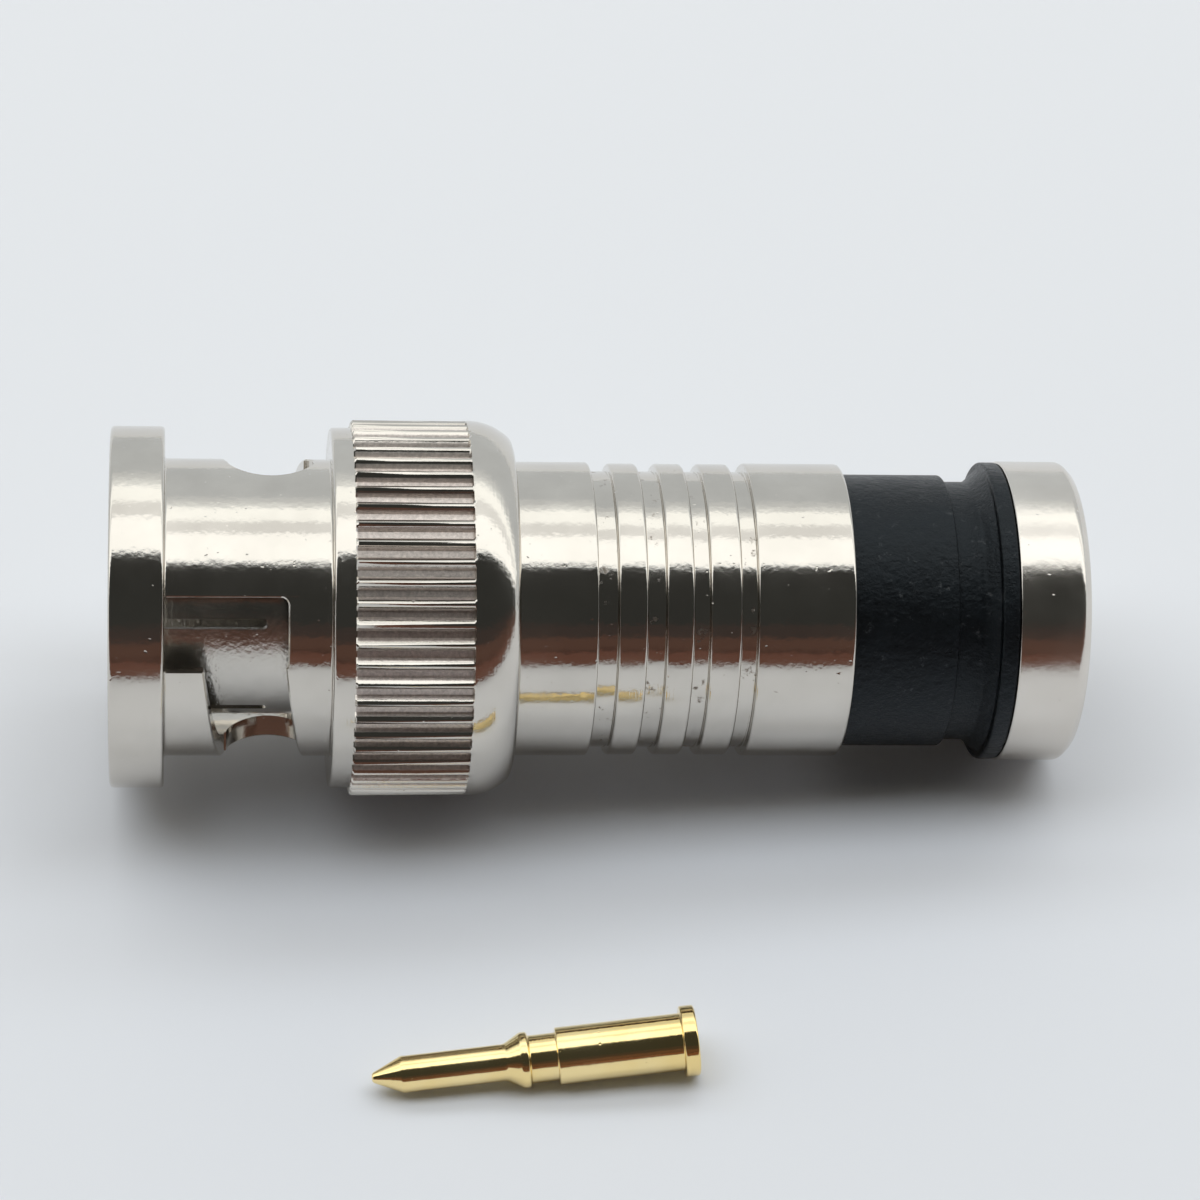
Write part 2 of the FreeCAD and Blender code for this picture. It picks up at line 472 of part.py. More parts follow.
def make_coupling_nut():
    """Ring, slotted sleeve, knurled grip and domed rear, turned as one piece."""
    body = make_body("coupling_nut")
    turn(
        body,
        "nut_blank",
        [
            ("nut_front", "mouth_radius"),
            ("nut_front", "band_radius"),
            ("flange_end", "band_radius"),
            ("flange_end", "sleeve_radius"),
            ("sleeve_end", "sleeve_radius"),
            ("sleeve_end", "band_radius"),
            ("band_end", "band_radius"),
            ("band_end", "knurl_radius"),
            ("dome_start", "knurl_radius", ("dome_start", "dome_centre_radius")),
            ("nut_end", "knurl_radius"),
            ("nut_end", "lip_radius"),
            ("lip_front", "lip_radius"),
            ("lip_front", "nut_chamber_radius"),
            ("nut_shoulder", "nut_chamber_radius"),
            ("nut_shoulder", "sleeve_bore_radius"),
            ("mouth_end", "sleeve_bore_radius"),
        ],
    )
    dome_rim = max(round_edges(body.Tip.Shape, "nut_end"))
    ring_edges = []
    for place in ("nut_front", "flange_end", "sleeve_end"):
        ring_edges.append((place, number_of("band_radius")))
    ease(body, "ring_edges", ring_edges, "flange_edge")
    ease(body, "dome_rim", [("nut_end", dome_rim)], "dome_edge")

    # a bayonet slot is an entry channel, a ramp that winds to the rear, and a detent
    entry_sketch = add_sketch(body, "entry_outline", "XZ_Plane", "entry_swing")
    draw_channel(
        entry_sketch, "nut_front", "entry_end", "slot_entry_width", "slot_entry_corner"
    )
    entry = cut_outwards(body, "slot_entry", entry_sketch, "slot_reach")

    ramp_sketch = add_sketch(body, "ramp_outline", "XZ_Plane", "ramp_swing")
    draw_outline(
        ramp_sketch,
        [
            ("ramp_front", "ramp_inner_radius"),
            ("ramp_front", "ramp_outer_radius"),
            ("ramp_rear", "ramp_outer_radius"),
            ("ramp_rear", "ramp_inner_radius"),
        ],
    )
    doc.recompute()
    ramp = body.newObject("PartDesign::SubtractiveHelix", "slot_ramp")
    ramp.Profile = ramp_sketch
    ramp.ReferenceAxis = (origin_item(body, "X_Axis"), [""])
    ramp.Mode = "height-turns-angle"
    ramp.Height = number_of("slot_ramp_advance")
    ramp.Turns = number_of("ramp_turns")
    ramp.setExpression("Height", path_of("slot_ramp_advance"))
    ramp.setExpression("Turns", path_of("ramp_turns"))
    doc.recompute()

    detent_sketch = add_sketch(body, "detent_outline", "XZ_Plane", "detent_swing")
    centre = Vector(number_of("detent_place"), 0, 0)
    radius = number_of("detent_radius")
    detent_sketch.addGeometry(Part.Circle(centre, Vector(0, 0, 1), radius), False)
    detent_sketch.addConstraint(Sketcher.Constraint("PointOnObject", 0, 3, -1))
    fix_point(detent_sketch, 0, 3, "detent_place", None)
    wide = detent_sketch.addConstraint(Sketcher.Constraint("Radius", 0, radius))
    detent_sketch.setExpression("Constraints[%d]" % wide, path_of("detent_radius"))
    detent = cut_outwards(body, "slot_detent", detent_sketch, "slot_reach")
    repeat_round(body, "bayonet_slots", [entry, ramp, detent], "slot_count")

    # one knurl groove across the crest, then all of them
    knurl_sketch = add_sketch(body, "knurl_outline", "YZ_Plane")
    knurl_sketch.AttachmentOffset = Placement(
        Vector(0, 0, number_of("band_end")), Rotation()
    )
    knurl_sketch.setExpression("AttachmentOffset.Base.z", path_of("band_end"))
    floor_half = number_of("knurl_floor_width") / 2
    mouth_half = number_of("knurl_mouth_width") / 2
    floor_at = number_of("band_radius")
    mouth_at = number_of("knurl_mouth_radius")
    ring = [
        Vector(-floor_half, floor_at, 0),
        Vector(floor_half, floor_at, 0),
        Vector(mouth_half, mouth_at, 0),
        Vector(-mouth_half, mouth_at, 0),
    ]
    for index in range(4):
        line = Part.LineSegment(ring[index], ring[(index + 1) % 4])
        knurl_sketch.addGeometry(line, False)
    for index in range(4):
        joint = Sketcher.Constraint("Coincident", index, 2, (index + 1) % 4, 1)
        knurl_sketch.addConstraint(joint)
    for line, left, right, width, height in (
        (0, 1, 2, "knurl_floor_width", "band_radius"),
        (2, 2, 1, "knurl_mouth_width", "knurl_mouth_radius"),
    ):
        knurl_sketch.addConstraint(Sketcher.Constraint("Symmetric", line, 1, line, 2, -2))
        across = knurl_sketch.addConstraint(
            Sketcher.Constraint("DistanceX", line, left, line, right, number_of(width))
        )
        knurl_sketch.setExpression("Constraints[%d]" % across, path_of(width))
        fix_point(knurl_sketch, line, 1, None, height)
    doc.recompute()
    before = body.Tip.Shape.Volume
    groove = body.newObject("PartDesign::Pocket", "knurl_groove")
    groove.Profile = knurl_sketch
    groove.Reversed = True
    groove.Length = number_of("knurl_length")
    groove.setExpression("Length", path_of("knurl_length"))
    doc.recompute()
    if groove.Shape.Volume >= before:
        raise RuntimeError("the knurl's groove cuts nothing")
    repeat_round(body, "knurl", [groove], "knurl_count")
    return body


def make_outer_contact():
    """Slotted contact tube, the collar that the nut pulls on, and the pressed shank."""
    body = make_body("outer_contact")
    turn(
        body,
        "contact_blank",
        [
            ("contact_front", "contact_bore_radius"),
            ("contact_front", "contact_radius"),
            ("gasket_seat_front", "contact_radius"),
            ("gasket_seat_front", "gasket_seat_radius"),
            ("collar_front", "gasket_seat_radius"),
            ("collar_front", "collar_radius"),
            ("collar_rear", "collar_radius"),
            ("collar_rear", "shank_radius"),
            ("shank_end", "shank_radius"),
            ("shank_end", "shank_bore_radius"),
            ("bead_front", "shank_bore_radius"),
            ("bead_front", "contact_bore_radius"),
        ],
    )
    tip = [("contact_front", number_of("contact_radius"))]
    ease(body, "contact_tip", tip, "contact_lip")
    slit_sketch = add_sketch(body, "slit_outline", "XZ_Plane", "slit_swing")
    draw_channel(
        slit_sketch, "contact_front", "slit_end", "contact_slit_width", "contact_slit_corner"
    )
    slit = cut_outwards(body, "slit", slit_sketch, "gasket_seat_radius")
    repeat_round(body, "slits", [slit], "contact_slit_count")
    return body


def make_front_gasket():
    body = make_body("front_gasket")
    turn(
        body,
        "gasket_ring",
        [
            ("gasket_front", "gasket_bore_radius"),
            ("gasket_front", "gasket_radius"),
            ("collar_front", "gasket_radius"),
            ("collar_front", "gasket_bore_radius"),
        ],
    )
    return body


def make_front_insulator():
    """Bead that holds the centre pin, with a seat for the pin's rim at the rear."""
    body = make_body("front_insulator")
    turn(
        body,
        "bead",
        [
            ("bead_front", "bead_bore_radius"),
            ("bead_front", "shank_bore_radius"),
            ("bead_rear", "shank_bore_radius"),
            ("bead_rear", "bead_seat_radius"),
            ("bead_seat", "bead_seat_radius"),
            ("bead_seat", "bead_bore_radius"),
        ],
    )
    return body


def make_thrust_washer():
    body = make_body("thrust_washer")
    turn(
        body,
        "washer_ring",
        [
            ("washer_front", "washer_bore_radius"),
            ("washer_front", "collar_radius"),
            ("washer_rear", "collar_radius"),
            ("washer_rear", "washer_bore_radius"),
        ],
    )
    return body


def make_wave_washer():
    """A flat strip that runs round the axis on a sine wave, swept along its middle line."""
    thickness = number_of("wave_thickness")
    width = number_of("wave_strip_width")
    middle_radius = number_of("washer_bore_radius") + width / 2
    middle = (number_of("wave_front") + number_of("wave_rear")) / 2
    swing = (number_of("wave_rear") - number_of("wave_front") - thickness) / 2
    waves = int(number_of("wave_count"))
    steps = 8 * waves
    points = []
    for step in range(steps):
        angle = 2 * math.pi * step / steps
        advance = middle + swing * math.cos(waves * angle)
        points.append(
            Vector(advance, middle_radius * math.cos(angle), middle_radius * math.sin(angle))
        )
    path = Part.BSplineCurve()
    path.interpolate(points, PeriodicFlag=True)
    first = points[0]
    corners = []
    for along, across in ((-1, -1), (1, -1), (1, 1), (-1, 1)):
        corners.append(first + Vector(along * thickness / 2, across * width / 2, 0))
    section = Part.makePolygon(corners + corners[:1])
    sweep = Part.BRepOffsetAPI.MakePipeShell(Part.Wire(path.toShape()))
    sweep.setBiNormalMode(Vector(1, 0, 0))
    sweep.add(section, False, False)
    sweep.build()
    sweep.makeSolid()
    feature = doc.addObject("Part::Feature", "wave_washer")
    feature.Label = "wave_washer"
    feature.Shape = sweep.shape()
    return feature


def make_barrel():
    """Grooved body, bored for the contact's shank, the cable and the plastic sleeve."""
    body = make_body("barrel")
    outline = [("barrel_front", "shank_radius"), ("barrel_front", "barrel_radius")]
    tops = ["barrel_radius", "ridge_radius", "ridge_radius", "ridge_radius", "barrel_radius"]
    for number in range(1, 5):
        outline.append(("groove_%d_front" % number, tops[number - 1]))
        outline.append(("groove_%d_front" % number, "groove_radius"))
        outline.append(("groove_%d_rear" % number, "groove_radius"))
        outline.append(("groove_%d_rear" % number, tops[number]))
    outline += [
        ("barrel_rear", "barrel_radius"),
        ("barrel_rear", "barrel_mouth_radius"),
        ("barrel_mouth", "barrel_mouth_radius"),
        ("barrel_mouth", "barrel_bore_radius"),
        ("shank_end", "barrel_bore_radius"),
        ("shank_end", "shank_radius"),
    ]
    turn(body, "barrel_blank", outline)
    rear = [("barrel_rear", number_of("barrel_radius"))]
    ease(body, "barrel_rear_edge", rear, "barrel_edge")
    return body


def make_inner_post():
    """Post that goes under the braid: a head pressed in behind the bead, and barbs."""
    body = make_body("inner_post")
    outline = [
        ("post_front", "post_bore_radius"),
        ("post_front", "shank_bore_radius"),
        ("shank_end", "shank_bore_radius"),
        ("shank_end", "post_radius"),
        ("barb_1_front", "post_radius"),
        ("barb_1_front", "barb_radius"),
        ("barb_1_rear", "post_radius"),
        ("barb_2_front", "post_radius"),
        ("barb_2_front", "barb_radius"),
        ("post_rear", "post_radius"),
        ("post_rear", "post_bore_radius"),
    ]
    turn(body, "post", outline)
    return body


def make_compression_sleeve():
    """Plastic sleeve: nose, sliding part, neck, flare, rim, and a tail inside the cap."""
    body = make_body("compression_sleeve")
    turn(
        body,
        "sleeve_blank",
        [
            ("nose_front", "nose_lead_radius"),
            ("nose_front", "nose_radius"),
            ("plastic_shoulder", "nose_radius"),
            ("plastic_shoulder", "plastic_radius"),
            ("neck_front", "plastic_radius"),
            ("neck_front", "neck_radius"),
            ("neck_rear", "neck_radius"),
            ("flare_rear", "flare_radius"),
            ("flare_rear", "rim_radius"),
            ("rim_rear", "rim_radius"),
            ("rim_rear", "tail_radius"),
            ("tail_rear", "tail_radius"),
            ("tail_rear", "plastic_bore_radius"),
            ("nose_lead_end", "plastic_bore_radius"),
        ],
    )
    rim = [
        ("flare_rear", number_of("rim_radius")),
        ("rim_rear", number_of("rim_radius")),
    ]
    ease(body, "plastic_rim", rim, "rim_edge")
    return body


def make_end_cap():
    """Metal cup round the plastic sleeve's tail, with the cable entry in its floor."""
    body = make_body("end_cap")
    turn(
        body,
        "cap_blank",
        [
            ("rim_rear", "tail_radius"),
            ("rim_rear", "cap_radius"),
            ("cap_rear", "cap_radius"),
            ("cap_rear", "cap_bore_radius"),
            ("tail_rear", "cap_bore_radius"),
            ("tail_rear", "tail_radius"),
        ],
    )
    rear = [("cap_rear", number_of("cap_radius"))]
    ease(body, "cap_rear_edge", rear, "cap_edge")
    entry = [("cap_rear", number_of("cap_bore_radius"))]
    ease(body, "cap_mouth", entry, "cap_mouth_edge")
    return body


def make_center_pin():
    """Contact pin from its point to the rim, with the hole that the wire goes into."""
    body = make_body("center_pin")
    turn(
        body,
        "pin_blank",
        [
            ("nut_front", "axis_line"),
            ("nut_front", "pin_point_radius"),
            ("pin_point_length", "pin_radius"),
            ("pin_cone_front", "pin_radius"),
            ("pin_collar_front", "pin_collar_radius"),
            ("pin_collar_rear", "pin_collar_radius"),
            ("pin_collar_rear", "pin_neck_radius"),
            ("pin_neck_rear", "pin_neck_radius"),
            ("pin_neck_rear", "pin_barrel_radius"),
            ("pin_rim_front", "pin_barrel_radius"),
            ("pin_rim_front", "pin_rim_radius"),
            ("pin_rear", "pin_rim_radius"),
            ("pin_rear", "pin_hole_radius"),
            ("pin_hole_front", "pin_hole_radius"),
            ("pin_hole_front", "axis_line"),
        ],
    )
    return body


def lying_on_two_rounds(first, second):
    """Tilt and height at which a turned piece lies on the ground on two round edges, each
    given as its place along the axis, the radius of its arc's centre and the arc's radius."""
    along = second[0] - first[0]
    across = second[1] - first[1]
    drop = first[2] - second[2]
    tilt = math.asin(drop / math.hypot(along, across)) - math.atan2(across, along)
    height = first[0] * math.sin(tilt) + first[1] * math.cos(tilt) + first[2]
    return math.degrees(tilt), height


connector = [
    make_coupling_nut(),
    make_outer_contact(),
    make_front_gasket(),
    make_front_insulator(),
    make_wave_washer(),
    make_thrust_washer(),
    make_barrel(),
    make_inner_post(),
    make_compression_sleeve(),
    make_end_cap(),
]
center_pin = make_center_pin()
doc.recompute()

# The connector lies on the arc of its dome and the rear edge of its end cap, and the loose
# pin on its rim and its collar.
dome_arc = (
    number_of("dome_start"),
    number_of("dome_centre_radius"),
    number_of("dome_radius"),
)
cap_round = (number_of("cap_edge_front"), number_of("cap_radius"), 0)
tilt, height = lying_on_two_rounds(dome_arc, cap_round)
lying = Placement(Vector(0, 0, height), Rotation(Vector(0, 1, 0), tilt))

collar_round = (number_of("pin_collar_front"), number_of("pin_collar_radius"), 0)
rim_round = (number_of("pin_rim_front"), number_of("pin_rim_radius"), 0)
pin_tilt, pin_height = lying_on_two_rounds(collar_round, rim_round)
pin_rests = Placement(Vector(0, 0, pin_height), Rotation(Vector(0, 1, 0), pin_tilt))
pin_turned = Rotation(Vector(0, 0, 1), number_of("pin_angle"))
pin_place = Vector(number_of("pin_along"), -number_of("pin_aside"), 0)
pin_lying = Placement(pin_place, pin_turned).multiply(pin_rests)

# The origin is on the ground, under the middle of the whole.
nodes = connector + [center_pin]
whole = []
for node in nodes:
    at_rest = node.Shape.copy()
    at_rest.Placement = pin_lying if node is center_pin else lying
    whole.append(at_rest)
extent = Part.makeCompound(whole).optimalBoundingBox()
middle_x = (extent.XMin + extent.XMax) / 2
middle_y = (extent.YMin + extent.YMax) / 2
centred = Placement(Vector(-middle_x, -middle_y, 0), Rotation())
for node in nodes:
    node.Placement = centred.multiply(pin_lying if node is center_pin else lying)
doc.recompute()

for item in doc.Objects:
    if "Invalid" in item.State or "Error" in item.State:
        raise RuntimeError(item.Name + " failed")
os.makedirs("parts", exist_ok=True)
for node in nodes:
    if node.Shape.isNull() or not node.Shape.isValid():
        raise RuntimeError(node.Label + " has no valid shape")
    node.Shape.exportStep("parts/" + node.Label + ".step")
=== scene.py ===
import json
import math

import bmesh
import bpy
from mathutils import Matrix, Vector


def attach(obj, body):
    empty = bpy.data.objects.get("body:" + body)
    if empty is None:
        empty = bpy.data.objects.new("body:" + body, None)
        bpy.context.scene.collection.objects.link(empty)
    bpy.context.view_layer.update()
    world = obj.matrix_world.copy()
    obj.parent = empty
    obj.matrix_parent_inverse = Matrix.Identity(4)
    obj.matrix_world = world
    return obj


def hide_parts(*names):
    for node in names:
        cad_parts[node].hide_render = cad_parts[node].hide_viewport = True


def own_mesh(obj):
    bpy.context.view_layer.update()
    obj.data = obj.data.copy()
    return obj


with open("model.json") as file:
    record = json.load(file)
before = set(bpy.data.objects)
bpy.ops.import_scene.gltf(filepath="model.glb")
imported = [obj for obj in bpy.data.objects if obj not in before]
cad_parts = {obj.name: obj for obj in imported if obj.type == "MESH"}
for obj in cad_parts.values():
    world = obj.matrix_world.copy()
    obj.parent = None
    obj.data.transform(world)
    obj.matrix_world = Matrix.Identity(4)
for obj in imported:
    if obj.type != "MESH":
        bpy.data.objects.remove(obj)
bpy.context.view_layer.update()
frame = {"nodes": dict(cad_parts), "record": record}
nodes = frame["nodes"]

MM = 0.001
IMAGE_SIZE = 1200

# The connector's axis: s = 0 is the front plane of the nut, and s runs to the cable end.
mounts = {mount["name"]: mount for mount in frame["record"]["mounts"]}
contact = mounts["outer_contact"]
axis_way = -Vector(contact["axis"]).normalized()
AXIS_TILT = -math.asin(axis_way.z)
CONTACT_MIDDLE = 5.525
nut_front = Vector(contact["pos_m"]) - axis_way * CONTACT_MIDDLE * MM
LYING = Matrix.Translation(nut_front) @ Matrix.Rotation(AXIS_TILT, 4, "Y")

# The loose pin's own axis: X runs from its point to its rim.
PIN_TURN = Matrix.Rotation(math.radians(3.1), 4, "Z")
PIN_TILT = Matrix.Rotation(math.radians(-2.66863), 4, "Y")
PIN_POINT = Vector((nut_front.x + 9.24 * MM, nut_front.y - 17.82 * MM, 0))
PIN_LYING = (
    Matrix.Translation(PIN_POINT) @ PIN_TURN @ Matrix.Translation((0, 0, 0.76781 * MM)) @ PIN_TILT
)


# Materials


def new_material(name):
    material = bpy.data.materials.new(name)
    material.use_nodes = True
    return material, material.node_tree, material.node_tree.nodes["Principled BSDF"]


def add(tree, kind, **settings):
    node = tree.nodes.new(kind)
    for key, value in settings.items():
        setattr(node, key, value)
    return node


def along_axis(tree, lying=LYING):
    """Object coordinates turned into a piece's own: X runs along its axis, in metres."""
    place = add(tree, "ShaderNodeTexCoord")
    mapping = add(tree, "ShaderNodeMapping", vector_type="POINT")
    back = lying.inverted()
    mapping.inputs["Location"].default_value = back.to_translation()
    mapping.inputs["Rotation"].default_value = back.to_euler()
    tree.links.new(place.outputs["Object"], mapping.inputs["Vector"])
    return mapping.outputs["Vector"]


def math_node(tree, operation, a, b=None):
    node = add(tree, "ShaderNodeMath", operation=operation)
    for index, value in enumerate((a, b)):
        if isinstance(value, bpy.types.NodeSocket):
            tree.links.new(value, node.inputs[index])
        elif value is not None:
            node.inputs[index].default_value = value
    return node.outputs["Value"]


# A mix node has a pair of inputs for each kind of value: 2 and 3 are its numbers, and 6 and 7
# its colours.
def mix_values(tree, share, a, b):
    node = add(tree, "ShaderNodeMix", data_type="FLOAT")
    tree.links.new(share, node.inputs["Factor"])
    for value, socket in zip((a, b), (node.inputs[2], node.inputs[3])):
        if isinstance(value, bpy.types.NodeSocket):
            tree.links.new(value, socket)
        else:
            socket.default_value = value
    return node.outputs[0]


def mix_colours(tree, share, a, b):
    node = add(tree, "ShaderNodeMix", data_type="RGBA")
    tree.links.new(share, node.inputs["Factor"])
    for value, socket in zip((a, b), (node.inputs[6], node.inputs[7])):
        if isinstance(value, bpy.types.NodeSocket):
            tree.links.new(value, socket)
        else:
            socket.default_value = (*value, 1)
    return node.outputs[2]


def noise(tree, vector, scale, detail=2.0, rough=0.5):
    node = add(tree, "ShaderNodeTexNoise")
    node.inputs["Scale"].default_value = scale
    node.inputs["Detail"].default_value = detail
    node.inputs["Roughness"].default_value = rough
    tree.links.new(vector, node.inputs["Vector"])
    return node.outputs["Fac"]


def map_range(tree, value, low, high, to_low, to_high):
    node = add(tree, "ShaderNodeMapRange")
    node.inputs["From Min"].default_value = low
    node.inputs["From Max"].default_value = high
    node.inputs["To Min"].default_value = to_low
    node.inputs["To Max"].default_value = to_high
    tree.links.new(value, node.inputs["Value"])
    return node.outputs["Result"]


def ramp_colour(tree, value, stops):
    node = add(tree, "ShaderNodeValToRGB")
    band = node.color_ramp
    band.elements[0].position = stops[0][0]
    band.elements[0].color = (*stops[0][1], 1)
    band.elements[1].position = stops[-1][0]
    band.elements[1].color = (*stops[-1][1], 1)
    for place, colour in stops[1:-1]:
        element = band.elements.new(place)
        element.color = (*colour, 1)
    tree.links.new(value, node.inputs["Fac"])
    return node.outputs["Color"]


def bump(tree, height, strength, distance, normal=None):
    node = add(tree, "ShaderNodeBump")
    node.inputs["Strength"].default_value = strength
    node.inputs["Distance"].default_value = distance
    tree.links.new(height, node.inputs["Height"])
    if normal is not None:
        tree.links.new(normal, node.inputs["Normal"])
    return node.outputs["Normal"]


# How fine each pattern of the plated metal is, in cells a metre
TOOL_RING_SCALE = 9000
PIT_SCALE = 5200
DENT_SCALE = 4600
WAVE_SCALE = 1300
CLOUD_SCALE = 420
WORKED_GRAIN_SCALE = 7000
GRIME_SCALE = 1700


def turned_metal(name, light, dark, roughness, lines, pits, lying=LYING, worked=None, grime=None):
    """Plated metal with the fine rings that a lathe leaves, waves, pits and faint wear.

    worked gives the rougher zones and grime the spotted one, each as first and last s, inner
    and outer radius, roughness, colour and how much darker its dark spots are.
    """
    material, tree, shader = new_material(name)
    vector = along_axis(tree, lying)
    split = add(tree, "ShaderNodeSeparateXYZ")
    tree.links.new(vector, split.inputs["Vector"])
    s, y, z = (split.outputs[axis] for axis in "XYZ")
    squares = math_node(
        tree, "ADD", math_node(tree, "MULTIPLY", y, y), math_node(tree, "MULTIPLY", z, z)
    )
    radius = math_node(tree, "SQRT", squares)

    def zone_mask(first, last, inner, outer):
        steps = (
            (s, first - 0.03, first + 0.03),
            (s, last + 0.03, last - 0.03),
            (radius, inner - 0.03, inner + 0.03),
            (radius, outer + 0.03, outer - 0.03),
        )
        mask = None
        for value, none, full in steps:
            share = map_range(tree, value, none * MM, full * MM, 0, 1)
            mask = share if mask is None else math_node(tree, "MULTIPLY", mask, share)
        return mask

    rings = add(tree, "ShaderNodeTexNoise", noise_dimensions="1D")
    rings.inputs["Scale"].default_value = TOOL_RING_SCALE
    rings.inputs["Detail"].default_value = 3
    tree.links.new(s, rings.inputs["W"])
    speckle = noise(tree, vector, PIT_SCALE, 3, 0.55)
    waves = noise(tree, vector, WAVE_SCALE, 2, 0.5)
    cloud = noise(tree, vector, CLOUD_SCALE, 3, 0.55)
    tint = map_range(tree, cloud, 0.35, 0.65, 0, 1)
    colour = ramp_colour(tree, tint, [(0, dark), (1, light)])
    rough = map_range(tree, cloud, 0.3, 0.7, roughness * 0.75, roughness * 1.35)
    pit_height = speckle
    for *zone, zone_roughness, zone_colour, darker in worked or ():
        mask = zone_mask(*zone)
        grain = noise(tree, vector, WORKED_GRAIN_SCALE, 4, 0.7)
        stain = map_range(tree, grain, 0.3, 0.7, 0, 1)
        dark_spots = tuple(part * darker for part in zone_colour)
        colour = mix_colours(
            tree, mask, colour, ramp_colour(tree, stain, [(0, dark_spots), (1, zone_colour)])
        )
        rough = mix_values(tree, mask, rough, zone_roughness)
        pit_height = mix_values(tree, mask, pit_height, math_node(tree, "MULTIPLY", grain, 4.0))
    if grime:
        *zone, zone_roughness, zone_colour, _ = grime
        spots = map_range(tree, noise(tree, vector, GRIME_SCALE, 4, 0.65), 0.62, 0.7, 0, 1)
        mask = math_node(tree, "MULTIPLY", zone_mask(*zone), spots)
        colour = mix_colours(tree, mask, colour, zone_colour)
        rough = mix_values(tree, mask, rough, zone_roughness)
    tree.links.new(colour, shader.inputs["Base Color"])
    tree.links.new(rough, shader.inputs["Roughness"])
    shader.inputs["Metallic"].default_value = 1
    ring_normal = bump(tree, rings.outputs["Fac"], lines, 0.00001)
    wave_normal = bump(tree, waves, 0.22, 0.00003, ring_normal)
    dents = map_range(tree, noise(tree, vector, DENT_SCALE, 1, 0.3), 0.76, 0.84, 1, 0)
    wave_normal = bump(tree, dents, 0.6, 0.00002, wave_normal)
    tree.links.new(bump(tree, pit_height, pits, 0.00002, wave_normal), shader.inputs["Normal"])
    return material


KNURL_ZONE = (9.14, 13.46, 6.8, 7.06, 0.45, (0.76, 0.69, 0.64), 0.62)
GRIME_ZONE = (18.15, 24.25, 5.2, 5.5, 0.5, (0.25, 0.22, 0.19), 0.3)
nickel = turned_metal(
    "nickel_plate", (0.665, 0.63, 0.575), (0.61, 0.577, 0.525), 0.1, 0.3, 0.2,
    worked=[KNURL_ZONE], grime=GRIME_ZONE,
)
cap_nickel = turned_metal(
    "cap_nickel", (0.73, 0.69, 0.635), (0.69, 0.65, 0.595), 0.18, 0.3, 0.16
)
contact_nickel = turned_metal(
    "contact_nickel", (0.64, 0.61, 0.56), (0.52, 0.495, 0.455), 0.2, 0.2, 1.0
)
gold = turned_metal(
    "gold_plate", (0.99, 0.80, 0.41), (0.96, 0.74, 0.33), 0.11, 0.3, 0.12, lying=PIN_LYING
)
steel = turned_metal("spring_steel", (0.56, 0.55, 0.53), (0.48, 0.47, 0.46), 0.3, 0.3, 0.2)

black_plastic, tree, shader = new_material("black_plastic")
vector = along_axis(tree)
speckle = noise(tree, vector, 3200, 5, 0.7)
mottle = noise(tree, vector, 700, 3, 0.6)
colour = ramp_colour(
    tree, mottle, [(0.35, (0.0003, 0.0008, 0.0013)), (0.7, (0.0013, 0.0028, 0.0042))]
)
scuffs = map_range(tree, noise(tree, vector, 2100, 5, 0.75), 0.6, 0.7, 0, 0.8)
colour = mix_colours(tree, scuffs, colour, (0.045, 0.048, 0.052))
tree.links.new(colour, shader.inputs["Base Color"])
tree.links.new(map_range(tree, mottle, 0.3, 0.7, 0.27, 0.38), shader.inputs["Roughness"])
shader.inputs["IOR"].default_value = 1.36
shader.inputs["Specular Tint"].default_value = (0.80, 0.91, 1.0, 1)
tree.links.new(bump(tree, speckle, 1.0, 0.00008), shader.inputs["Normal"])

rubber, tree, shader = new_material("gasket_rubber")
vector = along_axis(tree)
grain = noise(tree, vector, 3000, 4, 0.6)
colour = ramp_colour(tree, grain, [(0.3, (0.02, 0.02, 0.02)), (0.7, (0.035, 0.034, 0.033))])
tree.links.new(colour, shader.inputs["Base Color"])
shader.inputs["Roughness"].default_value = 0.7

bead_plastic, tree, shader = new_material("bead_plastic")
vector = along_axis(tree)
grain = noise(tree, vector, 1500, 3, 0.5)
colour = ramp_colour(tree, grain, [(0.3, (0.78, 0.77, 0.74)), (0.7, (0.85, 0.84, 0.81))])
tree.links.new(colour, shader.inputs["Base Color"])
shader.inputs["Roughness"].default_value = 0.45
shader.inputs["Subsurface Weight"].default_value = 0.1

FINISHES = {
    "coupling_nut": nickel,
    "barrel": nickel,
    "end_cap": cap_nickel,
    "outer_contact": contact_nickel,
    "inner_post": nickel,
    "thrust_washer": steel,
    "wave_washer": steel,
    "front_gasket": rubber,
    "front_insulator": bead_plastic,
    "compression_sleeve": black_plastic,
    "center_pin": gold,
}
for name, finish in FINISHES.items():
    slots = nodes[name].material_slots
    for slot in slots:
        slot.material = finish


# Turned pieces, modelled in millimetres about X and then laid in place

MODEL_PLACE = LYING @ Matrix.Scale(MM, 4)


def start_vertex(name, s, radius):
    bpy.ops.object.select_all(action="DESELECT")
    bpy.ops.mesh.primitive_plane_add(size=1, location=(0, 0, 0))
    piece = bpy.context.object
    piece.name = name
    piece.data.name = name
    bpy.ops.object.mode_set(mode="EDIT")
    bpy.ops.mesh.select_mode(type="VERT")
    bpy.ops.mesh.select_all(action="SELECT")
    bpy.ops.mesh.merge(type="CENTER")
    bpy.ops.transform.translate(value=(s, 0, radius))
    return piece


def pick(piece, wanted, kind="verts"):
    """Selects, in edit mode, the vertices, edges or faces for which wanted says so."""
    mode = {"verts": "VERT", "edges": "EDGE", "faces": "FACE"}[kind]
    bpy.ops.mesh.select_mode(type=mode)
    bpy.ops.mesh.select_all(action="DESELECT")
    mesh = bmesh.from_edit_mesh(piece.data)
    mesh.verts.ensure_lookup_table()
    for item in getattr(mesh, kind):
        item.select_set(bool(wanted(item)))
    mesh.select_flush_mode()
    bmesh.update_edit_mesh(piece.data)


